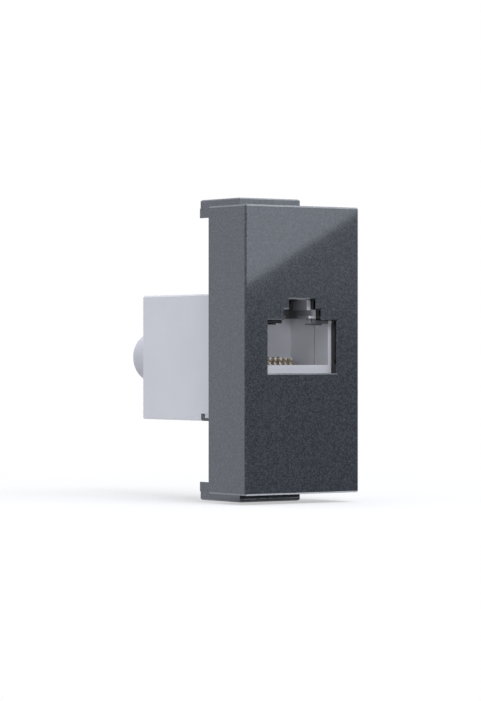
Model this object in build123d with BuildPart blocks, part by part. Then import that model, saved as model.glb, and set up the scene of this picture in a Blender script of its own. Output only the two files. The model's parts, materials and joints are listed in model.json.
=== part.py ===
"""Snap-in ethernet wall socket, one module wide, with a tool-less jack behind its cover.

Frame, in millimetres: the origin is the centre of the plane where the cover's rear rim seats.
+X is the socket's right as the room sees it, +Y points into the wall and +Z is up.
"""

import math
import os

from build123d import *

# Cover, the part that the room sees
cover_width = 22.0
cover_height = 45.0
cover_depth = 10.0
front_wall = 1.5
side_wall = 1.5
edge_chamfer = 0.25

# Plug port: main slot for the plug's body and two narrower steps for its latch
port_width = 12.0
port_floor_z = -2.35
port_height = 6.5
shoulder_height = 0.8
latch_width = 5.9
latch_height = 1.3
lever_width = 3.8
lever_height = 1.6
latch_depth = 6.25

# Window in the cover, larger than the port at the sides and below
window_side = 0.65
window_below = 1.3
window_above = 0.1
window_lap = 0.3
window_chamfer = 0.18

# Clearances
slip = 0.1
seat_gap = 0.05

# Mounting frame inside the cover, with a snap tongue above and below
frame_depth = 6.0
frame_wall = 1.2
web_thickness = 1.4
tongue_width = 11.7
tongue_span = 48.0
tongue_height = 2.9
tongue_length = 9.7
tongue_setback = 1.2
tongue_wall = 1.2
tongue_lip = 0.2
tongue_lip_height = 1.55
tongue_edge = 0.2

# Ribs inside the cover that hold the frame
rib_depth = 0.3
rib_width = 0.6
rib_length = 6.0
rib_start_z = 9.0
rib_y = -3.3
groove_depth = 0.5

# Jack: front shell, then housing with a nose that passes the frame
nose_width = 14.6
nose_top_z = 8.6
nose_bottom_z = -8.0
shell_depth = 3.45
shoulder_depth = 1.6
catch_width = 0.7
catch_height = 0.4
catch_length = 2.9
shadow_gap = 0.3
shadow_gap_depth = 0.8
locator_wall = 0.8
locator_depth = 2.0
body_width = 16.5
body_height = 20.1
body_centre_z = -1.2
body_depth = 23.0
body_wall = 1.0
body_floor = 1.3
body_edge = 0.25
port_depth = 9.9
back_wall = 1.6
hook_width = 6.0
hook_height = 0.8
hook_depth = 0.5

# Dark latch guide, a saddle over the shell's shoulders: front leaf, two cheeks and rear leaf
leaf_thickness = 0.3
leaf_drop = 0.2
leaf_margin = 0.45
cheek_width = 0.45
front_opening = 7.9
bridge_height = 0.4

# Contacts, bent from gilded strip
contact_count = 8
contact_pitch = 1.016
contact_width = 0.42
contact_thickness = 0.3
contact_front = 4.7
contact_slope = 31.0
contact_rest_z = -1.32
contact_start_z = -2.69
contact_upper_z = -4.6
contact_lower_z = -5.4
comb_slot = 0.56
contact_tip_gap = 0.6
carrier_bottom_z = -6.85

# Circuit board
board_thickness = 1.2
wire_hole = 0.56
pin_hole = 0.84

# Insulation-displacement terminals, four above and four below the cable's core
terminals_per_row = 4
terminal_pitch = 3.4
block_height = 5.6
block_length = 8.8
core_height = 6.0
blade_width = 2.4
blade_thickness = 0.4
blade_length = 8.15
blade_slot = 0.36
blade_slot_length = 4.2
blade_pin_width = 0.6
blade_tip = 0.35
wire_slot_width = 1.0
wire_slot_depth = 5.0
block_clearance = 0.03

# Rear cap that presses the wires home and guides the cable
cap_plate = 1.8
cap_skirt_gap = 0.55
cap_skirt = 0.85
pusher_width = 0.8
pusher_reach = 3.2
pusher_relief = 0.7
collar_radius = 4.13
collar_bore = 2.9
collar_length = 9.4
collar_edge = 0.35
key_width = 3.0
key_height = 0.4

# Black clip that locks the jack to the frame
clip_inset = 0.15
clip_plate = 0.45
clip_length = 5.7
clip_flange = 1.6
clip_lip_width = 6.0
clip_lip_height = 0.5
notch_height = 1.15
notch_length = 6.1
boss_inset = 0.35
boss_length = 5.5

# Planes and levels that follow from the sizes above
face_y = -cover_depth
inner_face_y = face_y + front_wall
inner_width = cover_width - 2 * side_wall
inner_height = cover_height - 2 * side_wall
frame_width = inner_width - 2 * slip
frame_height = inner_height - 2 * slip
shell_front_y = inner_face_y + seat_gap
shell_back_y = shell_front_y + shell_depth
nose_front_y = shell_back_y + shadow_gap
cavity_back_y = shell_front_y + port_depth
board_y = cavity_back_y + back_wall
board_back_y = board_y + board_thickness
port_top_z = port_floor_z + port_height
ceiling_z = port_top_z + shoulder_height
latch_top_z = ceiling_z + latch_height
lever_top_z = latch_top_z + lever_height
latch_end_y = shell_front_y + latch_depth
rear_leaf_y = shell_front_y + shoulder_depth
leaf_low_z = port_top_z - leaf_drop
guide_width = port_width + 2 * cheek_width
guide_top_z = nose_top_z - seat_gap
guide_bridge_z = guide_top_z - bridge_height
body_top_z = body_centre_z + body_height / 2
body_bottom_z = body_centre_z - body_height / 2
clip_width = body_width - 2 * clip_inset
boss_width = body_width - 2 * boss_inset
chamber_width = body_width - 2 * body_wall
chamber_height = body_height - 2 * body_floor
block_back_y = board_back_y + block_length
plate_y = body_depth - cap_plate
cap_skirt_length = plate_y - block_back_y - cap_skirt_gap
blade_z_offset = core_height / 2 + block_height / 2
tongue_top_z = tongue_span / 2
tongue_low_z = tongue_top_z - tongue_height
tongue_front_y = -tongue_setback
flange_y = -web_thickness - seat_gap - clip_plate
contact_xs = [
    (index - (contact_count - 1) / 2) * contact_pitch for index in range(contact_count)
]
terminal_xs = [
    (index - (terminals_per_row - 1) / 2) * terminal_pitch
    for index in range(terminals_per_row)
]


def across(y):
    """Sketch plane across the depth at y: right is +X, up is +Z, and its normal faces the room."""
    return Plane.XZ.offset(-y)


def bar(width, low, high, x=0.0, mode=Mode.ADD):
    """Draws a rectangle of one width between two levels in the current sketch."""
    with Locations((x, (low + high) / 2)):
        Rectangle(width, high - low, mode=mode)


def port_mouth(main_top_z, side=0.0, below=0.0, above=0.0):
    """Draws the port with its two latch steps, grown by the given margins."""
    bar(port_width + 2 * side, port_floor_z - below, main_top_z)
    bar(latch_width + 2 * side, main_top_z, latch_top_z + above)
    bar(lever_width + 2 * side, latch_top_z, lever_top_z + above)


def front_leaf(grow=0.0):
    """Draws the guide's front leaf: two shoulder faces, joined above the lever's step."""
    bar(port_width + 2 * grow, port_top_z - grow, ceiling_z)
    bar(guide_width + 2 * grow, ceiling_z - grow, nose_top_z if grow else guide_top_z)
    bar(latch_width, port_top_z - grow, ceiling_z, mode=Mode.SUBTRACT)
    bar(front_opening - 2 * grow, ceiling_z, guide_bridge_z - grow, mode=Mode.SUBTRACT)


def rear_leaf(grow=0.0):
    """Draws the guide's rear leaf, which hangs a little into the port beside the latch."""
    bar(port_width, leaf_low_z, ceiling_z)
    bar(guide_width + 2 * grow, ceiling_z - grow, nose_top_z if grow else guide_top_z)
    bar(latch_width, leaf_low_z, port_top_z, mode=Mode.SUBTRACT)
    inner_width = latch_width + 2 * (leaf_margin - grow)
    bar(inner_width, port_top_z, nose_top_z, mode=Mode.SUBTRACT)


def keep(part, name):
    """Labels a finished piece and writes it as one STEP file."""
    part.label = name
    export_step(part, f"parts/{name}.step")


os.makedirs("parts", exist_ok=True)

# Front cover: a shell with a chamfered face, open to the back
with BuildPart() as cover:
    with BuildSketch(across(face_y)):
        Rectangle(cover_width, cover_height)
    extrude(amount=-cover_depth)
    corner_edges = cover.edges().filter_by(Axis.Y)
    face_edges = cover.faces().sort_by(Axis.Y)[0].edges()
    chamfer(corner_edges + face_edges, edge_chamfer)
    with BuildSketch(across(inner_face_y)):
        Rectangle(inner_width, inner_height)
    extrude(amount=-(cover_depth - front_wall), mode=Mode.SUBTRACT)
    # Low wall that locates the jack's front shell behind the window
    with BuildSketch(across(inner_face_y)):
        bar(
            nose_width + 2 * (slip + locator_wall),
            nose_bottom_z - slip - locator_wall,
            nose_top_z + slip + locator_wall,
        )
    extrude(amount=-locator_depth)
    with BuildSketch(across(inner_face_y)):
        bar(nose_width + 2 * slip, nose_bottom_z - slip, nose_top_z + slip)
    extrude(amount=-locator_depth, mode=Mode.SUBTRACT)
    # Window, with its front edge broken like the outer edges
    with BuildSketch(across(face_y)):
        port_mouth(ceiling_z - window_lap, window_side, window_below, window_above)
    extrude(amount=-front_wall, mode=Mode.SUBTRACT)
    window_edges = cover.faces().sort_by(Axis.Y)[0].inner_wires()[0].edges()
    chamfer(window_edges, window_chamfer)
    # Gates in the rim, above and below, for the frame's tongues
    with BuildSketch(across(tongue_front_y - seat_gap)):
        Rectangle(tongue_width + 2 * slip, cover_height + side_wall)
        Rectangle(tongue_width + 2 * slip, inner_height, mode=Mode.SUBTRACT)
    extrude(amount=-(tongue_setback + seat_gap), mode=Mode.SUBTRACT)
    # Snap ribs on the inside of the two long walls
    for side in (-1, 1):
        for start_z in (rib_start_z, -rib_start_z - rib_length):
            with BuildSketch(Plane.XY.offset(start_z)):
                with BuildLine():
                    Polyline(
                        (side * inner_width / 2, rib_y - rib_width / 2),
                        (side * (inner_width / 2 - rib_depth), rib_y),
                        (side * inner_width / 2, rib_y + rib_width / 2),
                        close=True,
                    )
                make_face()
            extrude(amount=rib_length)
keep(cover.part, "front_cover")

# Mounting frame: a tray with a window for the jack and a hollow snap tongue at each end
with BuildPart() as frame:
    with BuildSketch(across(-frame_depth)):
        Rectangle(frame_width, frame_height)
    extrude(amount=-frame_depth)
    with BuildSketch(across(-frame_depth)):
        Rectangle(frame_width - 2 * frame_wall, frame_height - 2 * frame_wall)
    extrude(amount=-(frame_depth - web_thickness), mode=Mode.SUBTRACT)
    for end in (-1, 1):
        root_z = frame_height / 2 - frame_wall
        with BuildSketch(across(tongue_front_y)):
            bar(tongue_width, *sorted((end * root_z, end * tongue_top_z)))
        extrude(amount=-tongue_setback)
        with BuildSketch(across(0)):
            bar(tongue_width, *sorted((end * tongue_low_z, end * tongue_top_z)))
        extrude(amount=-tongue_length)
        lip_z = tongue_low_z + tongue_lip_height
        with BuildSketch(across(tongue_length)):
            bar(tongue_width, *sorted((end * tongue_low_z, end * lip_z)))
        extrude(amount=-tongue_lip)
        roof_z = tongue_top_z - tongue_wall
        with BuildSketch(across(tongue_wall)):
            bar(
                tongue_width - 2 * tongue_wall,
                *sorted((end * tongue_low_z, end * roof_z)),
            )
        extrude(amount=-(tongue_length + tongue_lip), mode=Mode.SUBTRACT)
    outer_faces = frame.faces().filter_by(Axis.Z).sort_by(Axis.Z)
    chamfer(outer_faces[0].edges() + outer_faces[-1].edges(), tongue_edge)
    # Window for the jack's nose
    with BuildSketch(across(-web_thickness)):
        bar(nose_width + 2 * slip, nose_bottom_z - slip, nose_top_z + slip)
    extrude(amount=-web_thickness, mode=Mode.SUBTRACT)
    # Slot for the locking clip, and room for its flange
    with BuildSketch(across(-web_thickness)):
        bar(
            clip_width + 2 * seat_gap,
            body_bottom_z - seat_gap,
            body_bottom_z + clip_plate + seat_gap,
        )
    extrude(amount=-web_thickness, mode=Mode.SUBTRACT)
    with BuildSketch(across(flange_y - seat_gap)):
        bar(
            clip_width + 2 * seat_gap,
            body_bottom_z - seat_gap,
            body_bottom_z + clip_flange + seat_gap,
        )
    extrude(amount=-(clip_plate + 2 * seat_gap), mode=Mode.SUBTRACT)
    # Grooves that take the cover's snap ribs
    for side in (-1, 1):
        for centre_z in (1, -1):
            groove_z = centre_z * (rib_start_z + rib_length / 2)
            with Locations((side * frame_width / 2, rib_y, groove_z)):
                Box(
                    2 * groove_depth,
                    rib_width + 4 * slip,
                    rib_length + 4 * slip,
                    mode=Mode.SUBTRACT,
                )
keep(frame.part, "mounting_frame")

# Jack front shell: the port's mouth, with a solid shoulder on each side of the latch's steps
with BuildPart() as shell:
    with BuildSketch(across(shell_front_y)):
        bar(nose_width, nose_bottom_z, nose_top_z)
    extrude(amount=-(shell_depth + shadow_gap))
    with BuildSketch(across(shell_front_y)):
        port_mouth(port_top_z)
    extrude(amount=-(shell_depth + shadow_gap), mode=Mode.SUBTRACT)
    with BuildSketch(across(rear_leaf_y)):
        bar(port_width, port_floor_z, ceiling_z)
    extrude(amount=-(shell_depth + shadow_gap - shoulder_depth), mode=Mode.SUBTRACT)
    # Ledges in the latch's step, behind which the plug's latch catches
    with BuildSketch(across(shell_front_y)):
        for side in (-1, 1):
            ledge_x = side * (latch_width - catch_width) / 2
            bar(catch_width, ceiling_z, ceiling_z + catch_height, ledge_x)
    extrude(amount=-catch_length)
    # Seat of the latch guide, open at the top: front recess, cheek slots and rear slot
    with BuildSketch(across(shell_front_y)):
        front_leaf(seat_gap)
    extrude(amount=-(leaf_thickness + seat_gap), mode=Mode.SUBTRACT)
    with BuildSketch(across(shell_front_y)):
        for side in (-1, 1):
            cheek_x = side * (guide_width - cheek_width) / 2
            bar(cheek_width + 2 * seat_gap, ceiling_z - seat_gap, nose_top_z, cheek_x)
    extrude(amount=-(shoulder_depth + leaf_thickness + seat_gap), mode=Mode.SUBTRACT)
    with BuildSketch(across(rear_leaf_y - seat_gap)):
        rear_leaf(seat_gap)
    extrude(amount=-(leaf_thickness + 2 * seat_gap), mode=Mode.SUBTRACT)
    # The shell stops short of the housing around the port, which leaves a fine dark joint
    with BuildSketch(across(shell_back_y)):
        bar(
            port_width + 2 * shadow_gap_depth,
            carrier_bottom_z - seat_gap,
            ceiling_z,
        )
    extrude(amount=-shadow_gap, mode=Mode.SUBTRACT)
keep(shell.part, "jack_front_shell")

# Latch guide: a dark saddle that slides down over the shell's shoulders
with BuildPart() as guide:
    with BuildSketch(across(shell_front_y)):
        front_leaf()
    extrude(amount=-leaf_thickness)
    with BuildSketch(across(shell_front_y)):
        for side in (-1, 1):
            cheek_x = side * (guide_width - cheek_width) / 2
            bar(cheek_width, ceiling_z, guide_top_z, cheek_x)
    extrude(amount=-(shoulder_depth + leaf_thickness))
    with BuildSketch(across(rear_leaf_y)):
        rear_leaf()
    extrude(amount=-leaf_thickness)
keep(guide.part, "latch_guide")

# Jack housing: a nose with the port's cavity, then a box for the terminals
with BuildPart() as housing:
    with BuildSketch(across(0)):
        bar(body_width, body_bottom_z, body_top_z)
    extrude(amount=-body_depth)
    back_edges = housing.faces().sort_by(Axis.Y)[-1].edges()
    chamfer(housing.edges().filter_by(Axis.Y) + back_edges, body_edge)
    with BuildSketch(across(nose_front_y)):
        bar(nose_width, nose_bottom_z, nose_top_z)
    extrude(amount=nose_front_y)
    with BuildSketch(across(board_y)):
        with Locations((0, body_centre_z)):
            Rectangle(chamber_width, chamber_height)
    extrude(amount=-(body_depth - board_y), mode=Mode.SUBTRACT)
    # Cavity for the plug, with the contact carrier's pocket under it
    with BuildSketch(across(nose_front_y)):
        bar(port_width, carrier_bottom_z - seat_gap, ceiling_z)
    extrude(amount=-(cavity_back_y - nose_front_y), mode=Mode.SUBTRACT)
    with BuildSketch(across(nose_front_y)):
        bar(latch_width, ceiling_z, lever_top_z)
    extrude(amount=-(latch_end_y - nose_front_y), mode=Mode.SUBTRACT)
    with BuildSketch(across(cavity_back_y)):
        bar(port_width, carrier_bottom_z - seat_gap, port_floor_z)
        for x in contact_xs:
            tip_room = contact_thickness / 2 + slip
            bar(comb_slot, contact_rest_z - tip_room, contact_rest_z + tip_room, x)
    extrude(amount=-back_wall, mode=Mode.SUBTRACT)
    # Fixed hook over the frame's window
    with BuildSketch(across(-web_thickness - seat_gap)):
        bar(hook_width, nose_top_z, nose_top_z + hook_height)
    extrude(amount=hook_depth)
    # Notch and boss for the locking clip
    with BuildSketch(across(0)):
        bar(body_width, body_bottom_z, body_bottom_z + notch_height)
    extrude(amount=-notch_length, mode=Mode.SUBTRACT)
    with BuildSketch(across(0)):
        bar(boss_width, body_bottom_z + clip_plate, body_bottom_z + notch_height)
    extrude(amount=-boss_length)
    # Keyways for the rear cap, open to the back
    with BuildSketch(across(body_depth)):
        bar(
            key_width + 2 * slip,
            body_bottom_z + body_floor - key_height - slip,
            body_top_z - body_floor + key_height + slip,
        )
    extrude(amount=cap_plate + cap_skirt_length + slip, mode=Mode.SUBTRACT)
keep(housing.part, "jack_housing")

# Contact carrier: a block that slides in under the port, slotted into a comb
carrier_front_y = nose_front_y + seat_gap
carrier_bend_y = nose_front_y + contact_front - shell_depth
with BuildPart() as carrier:
    with BuildSketch(across(carrier_front_y)):
        bar(port_width - 2 * seat_gap, carrier_bottom_z, port_floor_z)
    extrude(amount=-(board_y - carrier_front_y))
    for index, x in enumerate(contact_xs):
        run_z = contact_lower_z if index % 2 else contact_upper_z
        with BuildSketch(across(board_y)):
            bar(comb_slot, run_z - contact_thickness / 2 - block_clearance, port_floor_z, x)
        extrude(
            amount=board_y - carrier_bend_y + contact_thickness / 2 + slip,
            mode=Mode.SUBTRACT,
        )
keep(carrier.part, "contact_carrier")

# Contacts: hairpins of gilded strip that rise from the comb and rest in the back wall's slots
arm_rise = contact_rest_z - contact_start_z
arm_run = arm_rise / math.tan(math.radians(contact_slope))
contact_tip_y = cavity_back_y + back_wall - contact_tip_gap
for index, x in enumerate(contact_xs):
    run_z = contact_lower_z if index % 2 else contact_upper_z
    with BuildPart() as contact:
        with BuildLine(Plane.YZ.offset(x)) as route:
            FilletPolyline(
                (board_back_y - seat_gap, run_z),
                (carrier_bend_y, run_z),
                (carrier_bend_y, contact_start_z),
                (carrier_bend_y + arm_run, contact_rest_z),
                (contact_tip_y, contact_rest_z),
                radius=[0.55, 0.35, 0.6],
            )
        with BuildSketch(across(board_back_y - seat_gap)):
            with Locations((x, run_z)):
                Rectangle(contact_width, contact_thickness)
        sweep(path=route.line)
    keep(contact.part, f"contact_{index + 1}")

# Circuit board across the housing, drilled for the contacts and the terminal pins
with BuildPart() as board:
    with BuildSketch(across(board_y)):
        with Locations((0, body_centre_z)):
            Rectangle(chamber_width - 2 * seat_gap, chamber_height - 2 * seat_gap)
        for index, x in enumerate(contact_xs):
            with Locations((x, contact_lower_z if index % 2 else contact_upper_z)):
                Circle(wire_hole / 2, mode=Mode.SUBTRACT)
        for row in (-1, 1):
            for x in terminal_xs:
                with Locations((x, body_centre_z + row * blade_z_offset)):
                    Circle(pin_hole / 2, mode=Mode.SUBTRACT)
    extrude(amount=-board_thickness)
keep(board.part, "circuit_board")

# Terminal blocks: one above and one below the cable's core, with four forked blades each
for row, row_name in ((1, "upper"), (-1, "lower")):
    blade_z = body_centre_z + row * blade_z_offset
    with BuildPart() as block:
        with BuildSketch(across(board_back_y)):
            bar(
                chamber_width - 2 * slip,
                blade_z - block_height / 2,
                blade_z + block_height / 2,
            )
        extrude(amount=-block_length)
        with BuildSketch(across(block_back_y)):
            for x in terminal_xs:
                with Locations((x, blade_z)):
                    Rectangle(wire_slot_width, block_height)
        extrude(amount=wire_slot_depth, mode=Mode.SUBTRACT)
        with BuildSketch(across(block_back_y)):
            for x in terminal_xs:
                with Locations((x, blade_z)):
                    Rectangle(
                        blade_width + 2 * block_clearance,
                        blade_thickness + 2 * block_clearance,
                    )
        extrude(amount=block_length, mode=Mode.SUBTRACT)
    keep(block.part, f"terminal_block_{row_name}")

    for index, x in enumerate(terminal_xs):
        blade_tip_y = board_back_y + blade_length
        with BuildPart() as blade:
            with BuildSketch(Plane.XY.offset(blade_z - blade_thickness / 2)):
                with BuildLine():
                    Polyline(
                        (x - blade_pin_width / 2, board_y + seat_gap),
                        (x - blade_pin_width / 2, board_back_y),
                        (x - blade_width / 2, board_back_y),
                        (x - blade_width / 2, blade_tip_y - blade_tip),
                        (x - blade_width / 2 + blade_tip, blade_tip_y),
                        (x - blade_tip, blade_tip_y),
                        (x - blade_slot / 2, blade_tip_y - blade_tip),
                        (x - blade_slot / 2, blade_tip_y - blade_slot_length),
                        (x + blade_slot / 2, blade_tip_y - blade_slot_length),
                        (x + blade_slot / 2, blade_tip_y - blade_tip),
                        (x + blade_tip, blade_tip_y),
                        (x + blade_width / 2 - blade_tip, blade_tip_y),
                        (x + blade_width / 2, blade_tip_y - blade_tip),
                        (x + blade_width / 2, board_back_y),
                        (x + blade_pin_width / 2, board_back_y),
                        (x + blade_pin_width / 2, board_y + seat_gap),
                        close=True,
                    )
                make_face()
            extrude(amount=blade_thickness)
        keep(blade.part, f"terminal_blade_{row_name}_{index + 1}")

# Rear cap: plate, skirts, wire pushers and the cable collar
with BuildPart() as cap:
    with BuildSketch(across(plate_y)):
        with Locations((0, body_centre_z)):
            Rectangle(chamber_width - 2 * slip, chamber_height - 2 * slip)
            Rectangle(key_width, chamber_height + 2 * key_height)
    extrude(amount=-cap_plate)
    with BuildSketch(across(plate_y)):
        for side in (-1, 1):
            with Locations(
                (side * (chamber_width / 2 - slip - cap_skirt / 2), body_centre_z)
            ):
                Rectangle(cap_skirt, chamber_height - 2 * slip)
    extrude(amount=cap_skirt_length)
    for row in (-1, 1):
        blade_z = body_centre_z + row * blade_z_offset
        pusher_tip_y = block_back_y - pusher_reach
        with BuildSketch(across(plate_y)):
            for x in terminal_xs:
                with Locations((x, blade_z)):
                    Rectangle(pusher_width, block_height)
        extrude(amount=plate_y - pusher_tip_y)
        with BuildSketch(across(pusher_tip_y)):
            with Locations((0, blade_z)):
                Rectangle(chamber_width, pusher_relief)
        extrude(amount=-pusher_reach, mode=Mode.SUBTRACT)
    with BuildSketch(across(body_depth)):
        with Locations((0, body_centre_z)):
            Circle(collar_radius)
    extrude(amount=-collar_length)
    chamfer(cap.faces().sort_by(Axis.Y)[-1].edges(), collar_edge)
    with BuildSketch(across(plate_y)):
        with Locations((0, body_centre_z)):
            Circle(collar_bore)
    extrude(amount=-(cap_plate + collar_length), mode=Mode.SUBTRACT)
keep(cap.part, "rear_cap")

# Locking clip: a black channel through the frame's slot and round the housing's boss
with BuildPart() as clip:
    with BuildSketch(across(flange_y)):
        bar(clip_width, body_bottom_z, body_bottom_z + clip_plate)
    extrude(amount=-(clip_length - flange_y))
    with BuildSketch(across(flange_y)):
        bar(clip_width, body_bottom_z, body_bottom_z + clip_flange)
    extrude(amount=-clip_plate)
    lip_y = boss_length + seat_gap
    with BuildSketch(across(lip_y)):
        bar(clip_lip_width, body_bottom_z, body_bottom_z + clip_plate + clip_lip_height)
    extrude(amount=-(notch_length - lip_y - seat_gap))
keep(clip.part, "jack_clip")
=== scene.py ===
"""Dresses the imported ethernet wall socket: camera, studio, finishes and the fine parts of its look.

The solids of the frame keep their shape. This script gives each one its finish, replaces the eight
contact strips with round spring wires, and adds the ribs between them and the mould's pin marks.
"""

from __future__ import annotations

import json
import logging
import math
from dataclasses import dataclass, field
from enum import Enum

import bpy
from mathutils import Matrix, Vector

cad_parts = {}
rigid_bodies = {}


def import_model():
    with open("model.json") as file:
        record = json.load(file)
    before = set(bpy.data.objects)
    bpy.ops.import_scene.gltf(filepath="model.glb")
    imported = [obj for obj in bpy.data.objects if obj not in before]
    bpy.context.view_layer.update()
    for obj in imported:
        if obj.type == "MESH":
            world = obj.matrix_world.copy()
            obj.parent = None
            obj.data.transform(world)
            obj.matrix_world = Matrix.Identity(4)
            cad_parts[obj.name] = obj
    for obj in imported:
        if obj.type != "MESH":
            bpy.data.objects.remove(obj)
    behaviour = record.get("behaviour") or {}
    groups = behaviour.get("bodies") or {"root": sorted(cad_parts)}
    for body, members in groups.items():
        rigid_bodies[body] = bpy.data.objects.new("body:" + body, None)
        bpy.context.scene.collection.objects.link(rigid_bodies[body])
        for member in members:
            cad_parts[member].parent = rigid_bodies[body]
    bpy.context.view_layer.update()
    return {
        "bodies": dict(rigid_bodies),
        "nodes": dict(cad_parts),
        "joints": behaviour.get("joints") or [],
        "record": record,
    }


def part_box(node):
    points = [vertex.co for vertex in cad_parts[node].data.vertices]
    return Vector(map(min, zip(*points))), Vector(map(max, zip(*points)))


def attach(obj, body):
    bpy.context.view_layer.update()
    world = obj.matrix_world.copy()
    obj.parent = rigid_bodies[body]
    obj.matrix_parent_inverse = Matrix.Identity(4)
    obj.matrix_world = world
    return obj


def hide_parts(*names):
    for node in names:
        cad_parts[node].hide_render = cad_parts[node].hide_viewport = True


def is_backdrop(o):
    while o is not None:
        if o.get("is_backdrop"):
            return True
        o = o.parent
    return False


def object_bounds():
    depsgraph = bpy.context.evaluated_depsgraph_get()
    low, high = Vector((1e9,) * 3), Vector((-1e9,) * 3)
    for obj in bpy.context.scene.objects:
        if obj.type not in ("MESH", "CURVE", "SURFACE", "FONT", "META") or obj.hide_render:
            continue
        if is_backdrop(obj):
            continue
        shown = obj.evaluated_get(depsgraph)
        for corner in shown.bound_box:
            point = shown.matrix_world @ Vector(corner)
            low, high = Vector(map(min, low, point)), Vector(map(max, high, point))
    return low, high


LOG = logging.getLogger("wall_socket")

MM = 0.001
SOCKET = "socket"

# Noise runs from 0 to 1, but most of it lies between these values.
NOISE_SPREAD = (0.35, 0.65)
GRAIN_SPREAD = (0.3, 0.7)
# Blender's wave texture repeats about this often in one unit at scale 1.
WAVES_PER_UNIT = 3.2

Colour = tuple[float, float, float, float]
Point = tuple[float, float, float]
Settings = dict[str | int, object]
Links = dict[str | int, bpy.types.NodeSocket]


class Coordinates(Enum):
    """Which coordinates a pattern reads."""

    OBJECT = "Object"
    DIRECTION = "Generated"


def linear(hex_colour: str) -> Colour:
    """Turns an sRGB hex colour into Blender's linear colour.

    Args:
        hex_colour: Six hex digits after a hash sign.

    Returns:
        Red, green, blue and an alpha of 1.
    """
    channels = [int(hex_colour[i : i + 2], 16) / 255 for i in (1, 3, 5)]
    toned = [c / 12.92 if c <= 0.04045 else ((c + 0.055) / 1.055) ** 2.4 for c in channels]
    return (*toned, 1.0)


def grey(value: float) -> Colour:
    """Returns an opaque grey of one linear value."""
    return (value, value, value, 1.0)


def per_mm(length_mm: float) -> float:
    """Returns the pattern scale that repeats once in this length."""
    return 1 / (length_mm * MM)


def add_node(
    tree: bpy.types.NodeTree,
    kind: str,
    settings: Settings | None = None,
    links: Links | None = None,
) -> bpy.types.Node:
    """Adds one node, sets it up and links its inputs.

    Args:
        tree: Node tree that takes the node.
        kind: Blender's type name of the node.
        settings: Values by input name or number, or by attribute name where no input has that
            name. A colour ramp takes a list of positions and colours under "stops".
        links: Sockets to link from, by input name or number.

    Returns:
        The new node.
    """
    node = tree.nodes.new(kind)
    values = dict(settings or {})
    stops = values.pop("stops", [])
    if stops:
        elements = node.color_ramp.elements
        while len(elements) < len(stops):
            elements.new(0.5)
        for element, (position, colour) in zip(elements, stops):
            element.position = position
            element.color = colour
    attributes = {k: v for k, v in values.items() if isinstance(k, str) and hasattr(node, k)}
    for name, value in attributes.items():
        setattr(node, name, value)
    for name, value in values.items():
        if name not in attributes:
            node.inputs[name].default_value = value
    for name, source in (links or {}).items():
        tree.links.new(source, node.inputs[name])
    return node


def new_material(name: str) -> tuple[bpy.types.Material, bpy.types.NodeTree, bpy.types.NodeSocket]:
    """Starts a node material.

    Args:
        name: Material's name.

    Returns:
        The material, its empty node tree and its object coordinates.
    """
    material = bpy.data.materials.new(name)
    material.use_nodes = True
    tree = material.node_tree
    tree.nodes.clear()
    place = add_node(tree, "ShaderNodeTexCoord").outputs[Coordinates.OBJECT.value]
    return material, tree, place


def close_material(tree: bpy.types.NodeTree, shader: bpy.types.Node) -> None:
    """Links a shader to the material's output."""
    add_node(tree, "ShaderNodeOutputMaterial", links={"Surface": shader.outputs[0]})


@dataclass(frozen=True)
class Region:
    """A box in the part's frame, as a test in a material."""

    low_mm: Point
    high_mm: Point

    def inside(self, tree: bpy.types.NodeTree, axes: bpy.types.Node) -> bpy.types.NodeSocket:
        """Multiplies one test for each axis.

        Args:
            tree: Node tree of the material.
            axes: Separate XYZ node on Object coordinates.

        Returns:
            1 inside the box and 0 outside.
        """
        tests = [
            add_node(
                tree,
                "ShaderNodeMath",
                {"operation": "COMPARE", 1: (low + high) / 2 * MM, 2: (high - low) / 2 * MM},
                {0: axes.outputs[name]},
            ).outputs["Value"]
            for name, low, high in zip("XYZ", self.low_mm, self.high_mm)
        ]
        product = tests[0]
        for test in tests[1:]:
            product = add_node(
                tree, "ShaderNodeMath", {"operation": "MULTIPLY"}, {0: product, 1: test}
            ).outputs["Value"]
        return product


@dataclass(frozen=True)
class PaintedShadeZone(Region):
    """A region in which painted shade darkens a finish, all at once or towards its deep end."""

    # Colour of the painted shade at its darkest.
    colour: str
    light_y_mm: float
    dark_y_mm: float

    def apply(
        self,
        tree: bpy.types.NodeTree,
        place: bpy.types.NodeSocket,
        tone: bpy.types.NodeSocket,
    ) -> bpy.types.NodeSocket:
        """Paints shade into the tone inside the box.

        Args:
            tree: Node tree of the material.
            place: Object coordinates.
            tone: Colour outside the box.

        Returns:
            The colour with the painted shade.
        """
        axes = add_node(tree, "ShaderNodeSeparateXYZ", links={"Vector": place})
        depth = add_node(
            tree,
            "ShaderNodeMapRange",
            {"From Min": self.light_y_mm * MM, "From Max": self.dark_y_mm * MM},
            {"Value": axes.outputs["Y"]},
        )
        share = add_node(
            tree,
            "ShaderNodeMath",
            {"operation": "MULTIPLY"},
            {0: self.inside(tree, axes), 1: depth.outputs["Result"]},
        )
        mixed = add_node(
            tree,
            "ShaderNodeMix",
            {"data_type": "RGBA", 7: linear(self.colour)},
            {0: share.outputs["Value"], 6: tone},
        )
        return mixed.outputs[2]
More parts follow.
